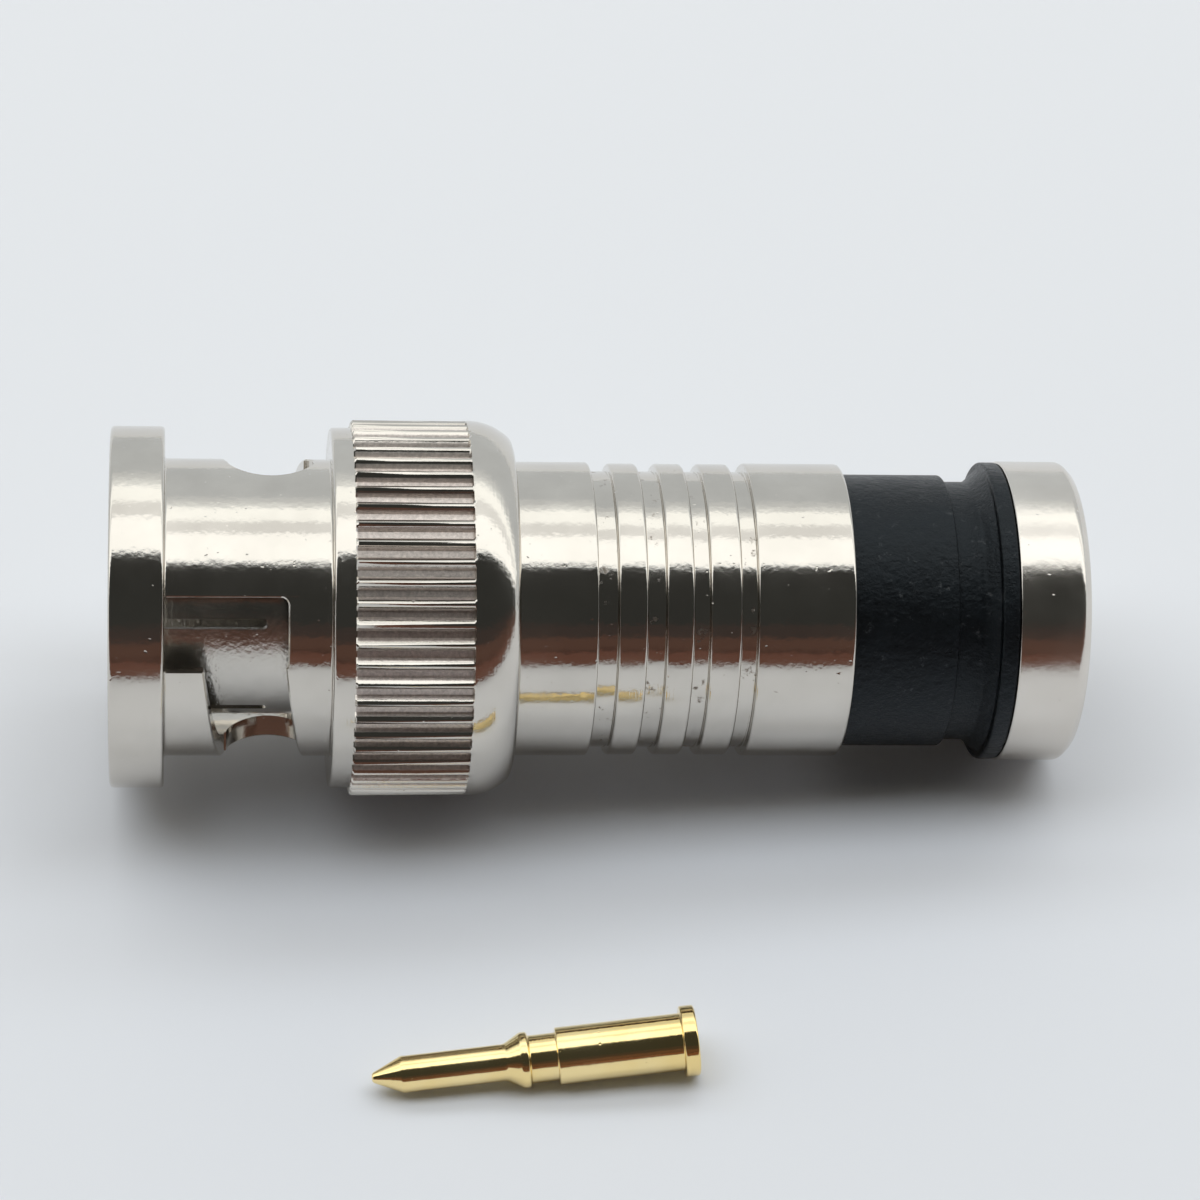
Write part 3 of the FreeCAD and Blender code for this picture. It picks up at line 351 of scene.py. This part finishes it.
def lathe(name, corners, steps, closed=True):
    """Turns a half outline about X. A corner is (s, radius, rounding)."""
    piece = start_vertex(name, corners[0][0], corners[0][1])
    for (s, radius, _), (next_s, next_radius, _) in zip(corners, corners[1:]):
        bpy.ops.mesh.extrude_vertices_move(
            TRANSFORM_OT_translate={"value": (next_s - s, 0, next_radius - radius)}
        )
    if closed:
        ends = (corners[0], corners[-1])
        pick(piece, lambda v: any(math.dist((v.co.x, v.co.z), e[:2]) < 1e-4 for e in ends))
        bpy.ops.mesh.edge_face_add()
    for rounding in sorted({corner[2] for corner in corners if corner[2]}):
        spots = [corner[:2] for corner in corners if corner[2] == rounding]
        pick(piece, lambda v: any(math.dist((v.co.x, v.co.z), p) < 1e-4 for p in spots))
        bpy.ops.mesh.bevel(offset=rounding, segments=3, affect="VERTICES")
    bpy.ops.mesh.select_all(action="SELECT")
    bpy.ops.mesh.spin(steps=steps, angle=math.tau, center=(0, 0, 0), axis=(1, 0, 0))
    bpy.ops.mesh.select_all(action="SELECT")
    bpy.ops.mesh.remove_doubles(threshold=1e-4)
    bpy.ops.mesh.normals_make_consistent(inside=False)
    bpy.ops.object.mode_set(mode="OBJECT")
    return piece


def radius_of(point):
    return math.hypot(point.y, point.z)


def arc(centre_s, centre_radius, radius, first, last, count):
    """Corners along an arc, from one angle over the axis's direction to another."""
    corners = []
    for index in range(count + 1):
        turn = math.radians(first + (last - first) * index / count)
        corners.append((
            centre_s + radius * math.cos(turn), centre_radius + radius * math.sin(turn), 0
        ))
    return corners


def finish_piece(piece, body, slot, finish, *stands_for, place=MODEL_PLACE):
    """Lays a modelled piece in place, gives it its finish and body, and hides the CAD parts it
    stands for.
    """
    bpy.ops.object.select_all(action="DESELECT")
    piece.select_set(True)
    bpy.context.view_layer.objects.active = piece
    bpy.ops.object.shade_smooth_by_angle(angle=math.radians(40))
    weights = piece.modifiers.new("weights", "WEIGHTED_NORMAL")
    weights.keep_sharp = True
    bpy.ops.object.modifier_apply(modifier=weights.name)
    piece.matrix_world = place
    bpy.ops.object.transform_apply(location=True, rotation=True, scale=True)
    piece.data.materials.clear()
    piece.data.materials.append(finish)
    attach(piece, body)
    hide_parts(*stands_for)


def cut(piece, cutter):
    bpy.ops.object.select_all(action="DESELECT")
    bpy.context.view_layer.objects.active = piece
    piece.select_set(True)
    tool = piece.modifiers.new("cut", "BOOLEAN")
    tool.operation = "DIFFERENCE"
    tool.solver = "EXACT"
    tool.object = cutter
    bpy.ops.object.modifier_apply(modifier=tool.name)
    bpy.data.objects.remove(cutter)


# Coupling nut. Lengths in millimetres, as the CAD has them.

FLANGE_END = 2.05
SLEEVE_END = 8.3
BAND_END = 9.1
KNURL_END = 13.5
DOME_START = 13.6
NUT_END = 15.25
NUT_SHOULDER = 10.0
LIP_FRONT = 13.9
SLEEVE_BORE = 4.9
SLEEVE_RADIUS = 5.675
BAND_RADIUS = 6.9
KNURL_RADIUS = 7.2
CHAMBER_RADIUS = 6.1
LIP_RADIUS = 5.75
DOME_DROP = KNURL_RADIUS - LIP_RADIUS - 0.72
DOME_RUN = NUT_END - DOME_START
DOME_RADIUS = (DOME_RUN**2 + DOME_DROP**2) / DOME_DROP / 2
CREST_RADIUS = 7.185
KNURL_COUNT = 58
TOOTH_PARTS = 6
FACET_TURN = -0.362
SLOT_ANGLE = 33
SLOT_TURN = 91

dome_end_angle = math.degrees(math.acos(DOME_RUN / DOME_RADIUS))
dome = arc(DOME_START, KNURL_RADIUS - DOME_RADIUS, DOME_RADIUS, 90, dome_end_angle, 10)
dome[-1] = (dome[-1][0], dome[-1][1], 0.22)
nut = lathe(
    "nut",
    [
        (0, SLEEVE_BORE + 0.3, 0.05),
        (0, BAND_RADIUS, 0.16),
        (1.03, BAND_RADIUS, 0),
        (1.05, BAND_RADIUS - 0.006, 0),
        (1.07, BAND_RADIUS, 0),
        (FLANGE_END, BAND_RADIUS, 0.14),
        (FLANGE_END, SLEEVE_RADIUS, 0.1),
        (SLEEVE_END, SLEEVE_RADIUS, 0.1),
        (SLEEVE_END, BAND_RADIUS, 0.14),
        (BAND_END, BAND_RADIUS, 0),
        (BAND_END, CREST_RADIUS - 0.08, 0),
        (BAND_END + 0.08, CREST_RADIUS, 0),
        (KNURL_END - 0.06, CREST_RADIUS, 0),
        (KNURL_END, CREST_RADIUS, 0),
    ]
    + dome
    + [
        (NUT_END, LIP_RADIUS, 0.12),
        (LIP_FRONT, LIP_RADIUS, 0),
        (LIP_FRONT, CHAMBER_RADIUS, 0),
        (NUT_SHOULDER, CHAMBER_RADIUS, 0),
        (NUT_SHOULDER, SLEEVE_BORE, 0),
        (0.3, SLEEVE_BORE, 0.05),
    ],
    KNURL_COUNT * TOOTH_PARTS,
)


def tooth_part(point):
    """Which of the lengthways lines of a knurl tooth a point is on."""
    turn = math.degrees(math.atan2(point.y, point.z)) % 360
    return round(turn / (360 / KNURL_COUNT / TOOTH_PARTS)) % TOOTH_PARTS


def set_tooth_lines(parts, ring_radius, low, high, radius):
    """Moves lines of the teeth in or out, from one radius to another."""
    pick(
        nut,
        lambda v: low < v.co.x < high
        and abs(radius_of(v.co) - ring_radius) < 0.01
        and tooth_part(v.co) in parts,
    )
    scale = radius / ring_radius
    bpy.ops.transform.resize(value=(1, scale, scale), center_override=(0, 0, 0))


bpy.ops.object.select_all(action="DESELECT")
bpy.context.view_layer.objects.active = nut
nut.select_set(True)
bpy.ops.object.mode_set(mode="EDIT")
front_ring = (BAND_END - 0.01, BAND_END + 0.01)
long_rings = (BAND_END + 0.04, KNURL_END - 0.03)
TOOTH_LINES = (((0, 1, 2), 0.285), ((3, 5), 0.065))
for parts, depth in TOOTH_LINES:
    front_radius = max(CREST_RADIUS - 0.08 - depth, BAND_RADIUS)
    set_tooth_lines(parts, CREST_RADIUS - 0.08, *front_ring, front_radius)
    set_tooth_lines(parts, CREST_RADIUS, *long_rings, CREST_RADIUS - depth)
pick(nut, lambda v: BAND_END - 0.01 < v.co.x < KNURL_END - 0.03 and radius_of(v.co) > 6.95)
bpy.ops.transform.vertex_random(offset=0.012, uniform=1, seed=5)
bpy.ops.mesh.select_all(action="SELECT")
bpy.ops.mesh.remove_doubles(threshold=0.002)
bpy.ops.mesh.normals_make_consistent(inside=False)
bpy.ops.object.mode_set(mode="OBJECT")

# The facets are turned so that no slot's straight edge leaves a sliver of one.
nut.matrix_world = Matrix.Rotation(math.radians(FACET_TURN), 4, "X")
bpy.ops.object.transform_apply(location=True, rotation=True, scale=True)

# Slot cutters: entry channel, ramp and detent
ENTRY_END = 6.65
ENTRY_WIDTH = 2.8
ENTRY_CORNER = 0.3
RAMP_FRONT = 3.3486
RAMP_WIDTH = 3.07
RAMP_ADVANCE = 1.036
RAMP_STEPS = 26
DETENT_PLACE = 6.05
DETENT_RADIUS = 1.62
SLOT_REACH = 5.72
SLOT_CHAMFER = 0.055
CUTTER_FLOOR = 3
CUTTER_HEIGHT = SLOT_REACH - CUTTER_FLOOR
CUTTER_MIDDLE = CUTTER_FLOOR + CUTTER_HEIGHT / 2


def side_turn(elevation):
    """Turn about X that takes +Z to the way that is this far above the -Y side."""
    return Matrix.Rotation(math.radians(90 - elevation), 4, "X")


def entry_cutter(elevation):
    bpy.ops.object.select_all(action="DESELECT")
    bpy.ops.mesh.primitive_cube_add(size=1, location=((ENTRY_END - 1) / 2, 0, CUTTER_MIDDLE))
    cutter = bpy.context.object
    cutter.scale = (ENTRY_END + 1, ENTRY_WIDTH, CUTTER_HEIGHT)
    bpy.ops.object.transform_apply(location=True, rotation=True, scale=True)
    bpy.ops.object.mode_set(mode="EDIT")
    pick(
        cutter,
        lambda e: all(v.co.x > ENTRY_END - 0.01 for v in e.verts)
        and abs(e.verts[0].co.z - e.verts[1].co.z) > 1,
        "edges",
    )
    bpy.ops.mesh.bevel(offset=ENTRY_CORNER, segments=4, affect="EDGES")
    bpy.ops.object.mode_set(mode="OBJECT")
    cutter.matrix_world = side_turn(elevation)
    return cutter


def ramp_cutter(elevation):
    bpy.ops.object.select_all(action="DESELECT")
    bpy.ops.mesh.primitive_plane_add(size=1, location=(0, 0, 0), rotation=(math.pi / 2, 0, 0))
    cutter = bpy.context.object
    cutter.scale = (RAMP_WIDTH, 1.8, 1)
    cutter.location = (RAMP_FRONT + RAMP_WIDTH / 2, 0, 5.3)
    bpy.ops.object.transform_apply(location=True, rotation=True, scale=True)
    bpy.ops.object.mode_set(mode="EDIT")
    bpy.ops.mesh.select_all(action="SELECT")
    for _ in range(RAMP_STEPS):
        bpy.ops.mesh.extrude_region_move(
            TRANSFORM_OT_translate={"value": (RAMP_ADVANCE / RAMP_STEPS, 0, 0)}
        )
        bpy.ops.transform.rotate(
            value=-math.radians(SLOT_TURN) / RAMP_STEPS,
            orient_axis="X",
            center_override=(0, 0, 0),
        )
    bpy.ops.mesh.select_all(action="SELECT")
    bpy.ops.mesh.normals_make_consistent(inside=False)
    bpy.ops.object.mode_set(mode="OBJECT")
    cutter.matrix_world = side_turn(elevation)
    return cutter


def detent_cutter(elevation):
    bpy.ops.object.select_all(action="DESELECT")
    bpy.ops.mesh.primitive_cylinder_add(
        vertices=48, radius=DETENT_RADIUS, depth=CUTTER_HEIGHT,
        location=(DETENT_PLACE, 0, CUTTER_MIDDLE),
    )
    cutter = bpy.context.object
    bpy.ops.object.transform_apply(location=True, rotation=True, scale=True)
    cutter.matrix_world = side_turn(elevation)
    return cutter


for opposite in (0, 180):
    cut(nut, entry_cutter(SLOT_ANGLE + opposite))
    cut(nut, ramp_cutter(SLOT_ANGLE + opposite))
    cut(nut, detent_cutter(SLOT_ANGLE - SLOT_TURN + opposite))


def on_slot_rim(edge):
    """Edges where a slot's wall meets the outside of the sleeve."""
    if len(edge.link_faces) != 2:
        return False
    middle = (edge.verts[0].co + edge.verts[1].co) / 2
    if not FLANGE_END + 0.12 < middle.x < SLEEVE_END - 0.12:
        return False
    if any(abs(radius_of(v.co) - SLEEVE_RADIUS) > 0.02 for v in edge.verts):
        return False
    way = Vector((0, middle.y, middle.z)).normalized()
    facing = sorted(abs(face.normal.dot(way)) for face in edge.link_faces)
    return facing[0] < 0.6 and facing[1] > 0.9


bpy.ops.object.select_all(action="DESELECT")
bpy.context.view_layer.objects.active = nut
nut.select_set(True)
bpy.ops.object.mode_set(mode="EDIT")
bpy.ops.mesh.select_all(action="SELECT")
bpy.ops.mesh.remove_doubles(threshold=0.002)
pick(nut, on_slot_rim, "edges")
bpy.ops.mesh.bevel(offset=SLOT_CHAMFER, segments=1, affect="EDGES", clamp_overlap=False)
bpy.ops.mesh.select_all(action="SELECT")
bpy.ops.mesh.normals_make_consistent(inside=False)
bpy.ops.object.mode_set(mode="OBJECT")
finish_piece(nut, "coupling_nut", "nickel", nickel, "coupling_nut")


# Outer contact: tube with six fingers, seat of the gasket, collar and shank

CONTACT_FRONT = 1.6
CONTACT_RADIUS = 4.05
CONTACT_BORE = 3.5
SEAT_RADIUS = 4.3
COLLAR_RADIUS = 6.0
SHANK_RADIUS = 5.0
SHANK_BORE = 3.7
SHANK_END = 18.0
SLIT_WIDTH = 0.4
SLIT_END = 5.9
SLIT_ANGLE = 34.7
SLIT_COUNT = 6

outer_contact = lathe(
    "contact_tube",
    [
        (CONTACT_FRONT, CONTACT_BORE, 0.08),
        (CONTACT_FRONT, CONTACT_RADIUS, 0.15),
        (9.3, CONTACT_RADIUS, 0),
        (9.3, SEAT_RADIUS, 0.05),
        (10.05, SEAT_RADIUS, 0),
        (10.05, COLLAR_RADIUS, 0.1),
        (11.65, COLLAR_RADIUS, 0.1),
        (11.65, SHANK_RADIUS, 0),
        (SHANK_END, SHANK_RADIUS, 0.1),
        (SHANK_END, SHANK_BORE, 0),
        (9.7, SHANK_BORE, 0),
        (9.7, CONTACT_BORE, 0),
    ],
    144,
)


def slit_cutter(elevation):
    bpy.ops.object.select_all(action="DESELECT")
    middle = (CONTACT_FRONT - 1 + SLIT_END) / 2
    bpy.ops.mesh.primitive_cube_add(size=1, location=(middle, 0, 3.8))
    cutter = bpy.context.object
    cutter.scale = (SLIT_END - CONTACT_FRONT + 1, SLIT_WIDTH, 1.2)
    bpy.ops.object.transform_apply(location=True, rotation=True, scale=True)
    bpy.ops.object.mode_set(mode="EDIT")
    pick(
        cutter,
        lambda e: all(v.co.x > SLIT_END - 0.01 for v in e.verts)
        and abs(e.verts[0].co.z - e.verts[1].co.z) > 1,
        "edges",
    )
    bpy.ops.mesh.bevel(offset=0.18, segments=4, affect="EDGES")
    bpy.ops.object.mode_set(mode="OBJECT")
    cutter.matrix_world = side_turn(elevation)
    return cutter


for index in range(SLIT_COUNT):
    cut(outer_contact, slit_cutter(SLIT_ANGLE + index * 360 / SLIT_COUNT))
finish_piece(outer_contact, "root", "nickel_contact", contact_nickel, "outer_contact")


# Wave washer, copied from the CAD one. In the connector the thrust washer flattens it against the
# collar as the nut floats forwards.

spring = bpy.data.objects.new("spring_washer", nodes["wave_washer"].data.copy())
bpy.context.scene.collection.objects.link(spring)
bpy.ops.object.select_all(action="DESELECT")
bpy.context.view_layer.objects.active = spring
spring.select_set(True)
bpy.ops.object.mode_set(mode="EDIT")
bpy.ops.mesh.select_all(action="SELECT")
bpy.ops.mesh.remove_doubles(threshold=1e-7)
bpy.ops.mesh.normals_make_consistent(inside=False)
bpy.ops.object.mode_set(mode="OBJECT")
finish_piece(spring, "root", "spring_steel", steel, "wave_washer", place=Matrix.Identity(4))
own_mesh(spring)


# Barrel

BARREL_FRONT = 14.0
BARREL_END = 27.92
BARREL_RADIUS = 5.65
RIDGE_RADIUS = 5.61
GROOVE_RADIUS = 5.31
SLEEVE_SPACE = 5.3
BARREL_BORE = 4.8

barrel = lathe(
    "barrel_body",
    [
        (BARREL_FRONT, SHANK_RADIUS, 0),
        (BARREL_FRONT, BARREL_RADIUS, 0.08),
        (18.2, BARREL_RADIUS, 0.09),
        (18.2, GROOVE_RADIUS, 0.05),
        (18.95, GROOVE_RADIUS, 0.05),
        (18.95, RIDGE_RADIUS, 0.12),
        (20.05, RIDGE_RADIUS, 0.12),
        (20.05, GROOVE_RADIUS, 0.05),
        (20.75, GROOVE_RADIUS, 0.05),
        (20.75, RIDGE_RADIUS, 0.12),
        (21.8, RIDGE_RADIUS, 0.12),
        (21.8, GROOVE_RADIUS, 0.05),
        (22.4, GROOVE_RADIUS, 0.05),
        (22.4, RIDGE_RADIUS, 0.12),
        (23.6, RIDGE_RADIUS, 0.12),
        (23.6, GROOVE_RADIUS, 0.05),
        (24.2, GROOVE_RADIUS, 0.05),
        (24.2, BARREL_RADIUS, 0.09),
        (BARREL_END, BARREL_RADIUS, 0.14),
        (BARREL_END, SLEEVE_SPACE, 0.06),
        (24.5, SLEEVE_SPACE, 0),
        (24.5, BARREL_BORE, 0),
        (SHANK_END, BARREL_BORE, 0),
        (SHANK_END, SHANK_RADIUS, 0),
    ],
    160,
)
finish_piece(barrel, "root", "nickel", nickel, "barrel")


# Plastic sleeve and end cap

SKIRT_FRONT = 23.65
SKIRT_RADIUS = 4.72
PLASTIC_FRONT = 27.85
PLASTIC_RADIUS = 5.25
SLEEVE_BORE_RADIUS = 3.5
NECK_RADIUS = 5.0
NECK_FRONT = 31.9
RIM_RADIUS = 5.76
RIM_FRONT = 33.45
CAP_FRONT = 34.13
CAP_SEAT_RADIUS = 5.1
CAP_SEAT_END = 35.95
CAP_RADIUS = 5.8
CAP_END = 36.9
CAP_HOLE_RADIUS = 3.3

sleeve = lathe(
    "plastic_sleeve",
    [
        (SKIRT_FRONT, 4.2, 0.05),
        (SKIRT_FRONT, SKIRT_RADIUS, 0.1),
        (PLASTIC_FRONT, SKIRT_RADIUS, 0),
        (PLASTIC_FRONT, PLASTIC_RADIUS, 0.05),
        (NECK_FRONT, PLASTIC_RADIUS, 0.07),
        (NECK_FRONT, NECK_RADIUS, 0.05),
        (32.95, NECK_RADIUS, 0.1),
        (RIM_FRONT, 5.45, 0.06),
        (RIM_FRONT, RIM_RADIUS, 0.12),
        (CAP_FRONT, RIM_RADIUS, 0.12),
        (CAP_FRONT, CAP_SEAT_RADIUS, 0),
        (CAP_SEAT_END, CAP_SEAT_RADIUS, 0),
        (CAP_SEAT_END, SLEEVE_BORE_RADIUS, 0),
        (25.25, SLEEVE_BORE_RADIUS, 0),
    ],
    160,
)
finish_piece(sleeve, "compression_end", "black_plastic", black_plastic, "compression_sleeve")

cap = lathe(
    "rear_cap",
    [
        (CAP_FRONT, CAP_SEAT_RADIUS, 0),
        (CAP_FRONT, CAP_RADIUS, 0.08),
        (36.54, CAP_RADIUS, 0.14),
        (CAP_END, 5.42, 0.12),
        (CAP_END, CAP_HOLE_RADIUS, 0.25),
        (CAP_SEAT_END, CAP_HOLE_RADIUS, 0),
        (CAP_SEAT_END, CAP_SEAT_RADIUS, 0),
    ],
    160,
)
finish_piece(cap, "compression_end", "nickel", cap_nickel, "end_cap")


# Loose centre pin. Its lengths are from its own point.

TIP_RADIUS = 0.675
STEP_RADIUS = 1.025
WAIST_RADIUS = 0.875
BODY_RADIUS = 1.05
PIN_RIM_RADIUS = 1.3
PIN_BORE = 0.55
PIN_END = 11.95

pin = lathe(
    "gold_pin",
    [
        (0, 0, 0),
        (0, 0.16, 0.08),
        (1.1, TIP_RADIUS, 0.05),
        (4.9, TIP_RADIUS, 0.08),
        (5.5, STEP_RADIUS, 0.06),
        (5.75, STEP_RADIUS, 0.06),
        (5.8, WAIST_RADIUS, 0.04),
        (6.8, WAIST_RADIUS, 0.04),
        (6.8, BODY_RADIUS, 0.05),
        (11.4, BODY_RADIUS, 0.04),
        (11.4, PIN_RIM_RADIUS, 0.07),
        (PIN_END, PIN_RIM_RADIUS, 0.09),
        (PIN_END, PIN_BORE, 0.05),
        (7.15, PIN_BORE, 0),
        (7.15, 0, 0),
    ],
    96,
    closed=False,
)
finish_piece(
    pin, "root", "gold", gold, "center_pin", place=PIN_LYING @ Matrix.Scale(MM, 4)
)


# Floor

bpy.ops.object.select_all(action="DESELECT")
bpy.ops.mesh.primitive_plane_add(size=6, location=(0, 0, 0))
floor = bpy.context.object
floor.name = "studio_floor"
floor_paint, tree, shader = new_material("floor_paint")
shader.inputs["Base Color"].default_value = (0.70, 0.75, 0.84, 1)
shader.inputs["Roughness"].default_value = 0.9
shader.inputs["Specular IOR Level"].default_value = 0.1
floor.data.materials.append(floor_paint)


# Light: two soft lamps, over the connector and behind it, and cards round it for the metal
# to show. Glossy rays don't see the lamps.

MIDDLE = Vector((0, 0.006, 0.006))
REACH = 0.44
LAMP_REACH = 1.5


def round_place(angle, reach):
    """A place round the connector: 0 is level on the camera's side, 90 is straight above."""
    turn = math.radians(angle)
    return MIDDLE + Vector((0, -math.cos(turn), math.sin(turn))) * reach


def soft_lamp(name, first, last, watts, colour, length):
    a = round_place(first, LAMP_REACH)
    b = round_place(last, LAMP_REACH)
    light = bpy.data.lights.new(name, "AREA")
    light.shape = "RECTANGLE"
    light.size = length
    light.size_y = (b - a).length
    light.energy = watts
    light.color = colour
    lamp = bpy.data.objects.new(name, light)
    bpy.context.scene.collection.objects.link(lamp)
    middle = (a + b) / 2
    outward = (middle - MIDDLE).normalized()
    across = (b - a).normalized()
    turn = Matrix((across.cross(outward), across, outward)).transposed().to_4x4()
    lamp.matrix_world = Matrix.Translation(middle) @ turn
    lamp.visible_glossy = False


def card(name, first, last, colour, blocks, reach=REACH, length=1.6):
    """A long card round the connector, which cameras don't see."""
    bpy.ops.object.select_all(action="DESELECT")
    bpy.ops.mesh.primitive_plane_add(size=1, location=(0, 0, 0))
    panel = bpy.context.object
    panel.name = name
    for vertex in panel.data.vertices:
        edge = round_place(first if vertex.co.y < 0 else last, reach)
        vertex.co = edge + Vector((vertex.co.x * length, 0, 0))
    paint, tree, shader = new_material(name + "_paint")
    tree.nodes.remove(shader)
    glow = add(tree, "ShaderNodeEmission")
    glow.inputs["Color"].default_value = (*colour, 1)
    tree.links.new(glow.outputs["Emission"], tree.nodes["Material Output"].inputs["Surface"])
    panel.data.materials.append(paint)
    panel.visible_camera = False
    panel.visible_diffuse = blocks
    panel.visible_shadow = blocks


soft_lamp("top_lamp", 76, 102, 12.7, (0.93, 0.97, 1.0), 3.0)
soft_lamp("back_lamp", 113, 128, 6.8, (0.93, 0.97, 1.0), 3.0)
CARDS = (
    ("warm_card", -3, 9.5, (0.160, 0.077, 0.056), True),
    ("thin_card", 9.5, 11, (0.045, 0.028, 0.023), True),
    ("upper_warm_card", 11, 21, (0.115, 0.064, 0.048), True),
    ("brown_card", 21, 31, (0.058, 0.045, 0.040), True),
    ("dark_card", 31, 69, (0.040, 0.041, 0.038), True),
    ("upper_dark_card", 69, 76, (0.040, 0.041, 0.038), False),
    ("top_card", 78, 102, (1.6, 1.62, 1.6), False),
    ("middle_card", 102, 113, (1.09, 1.1, 1.09), False),
    ("back_card", 113, 126, (1.5, 1.53, 1.5), False),
    ("soft_card", 126, 131, (1.0, 1.03, 1.03), False),
    ("faint_card", 131, 137, (0.78, 0.81, 0.82), False),
)
for name, first, last, colour, blocks in CARDS:
    card(name, first, last, colour, blocks)
    # A longer one just behind it, which only the rounded ends of the metal show
    card("far_" + name, first, last, colour, False, reach=REACH * 1.01, length=6)

world = bpy.data.worlds.new("studio_world")
bpy.context.scene.world = world
world.use_nodes = True
tree = world.node_tree
sky = tree.nodes["Background"]
sky.inputs["Strength"].default_value = 1
# What is seen, also in the metal, is cooler than the light that the sky gives.
rays = add(tree, "ShaderNodeLightPath")
seen = math_node(
    tree, "ADD", rays.outputs["Is Camera Ray"],
    math_node(tree, "ADD", rays.outputs["Is Glossy Ray"], rays.outputs["Is Transmission Ray"]),
)
tree.links.new(
    mix_colours(tree, seen, (0.80, 0.72, 0.58), (0.66, 0.695, 0.715)), sky.inputs["Color"]
)


# Camera, at the photograph's angle

AIM = nut_front + Vector((18, 0, 0)) * MM
AIM.z = 6 * MM
CAMERA_YAW = 4.225
CAMERA_ELEVATION = 44
CAMERA_ROLL = 0.648
CAMERA_DISTANCE = 162.62 * MM
FOCAL_PIXELS = 4200
CENTRE_X = 580.65
CENTRE_Y = 625.9

yaw = math.radians(CAMERA_YAW)
elevation = math.radians(CAMERA_ELEVATION)
out = Vector((
    -math.sin(yaw) * math.cos(elevation),
    -math.cos(yaw) * math.cos(elevation),
    math.sin(elevation),
))
camera_data = bpy.data.cameras.new("photo_camera")
camera_data.sensor_width = 36
camera_data.lens = FOCAL_PIXELS / IMAGE_SIZE * 36
camera_data.shift_x = (IMAGE_SIZE / 2 - CENTRE_X) / IMAGE_SIZE
camera_data.shift_y = (CENTRE_Y - IMAGE_SIZE / 2) / IMAGE_SIZE
camera_data.clip_start = 0.005
camera = bpy.data.objects.new("photo_camera", camera_data)
bpy.context.scene.collection.objects.link(camera)
facing = (-out).to_track_quat("-Z", "Y").to_matrix().to_4x4()
roll = Matrix.Rotation(math.radians(CAMERA_ROLL), 4, "Z")
camera.matrix_world = Matrix.Translation(AIM + out * CAMERA_DISTANCE) @ facing @ roll
bpy.context.scene.camera = camera
bpy.context.scene.view_settings.view_transform = "Standard"
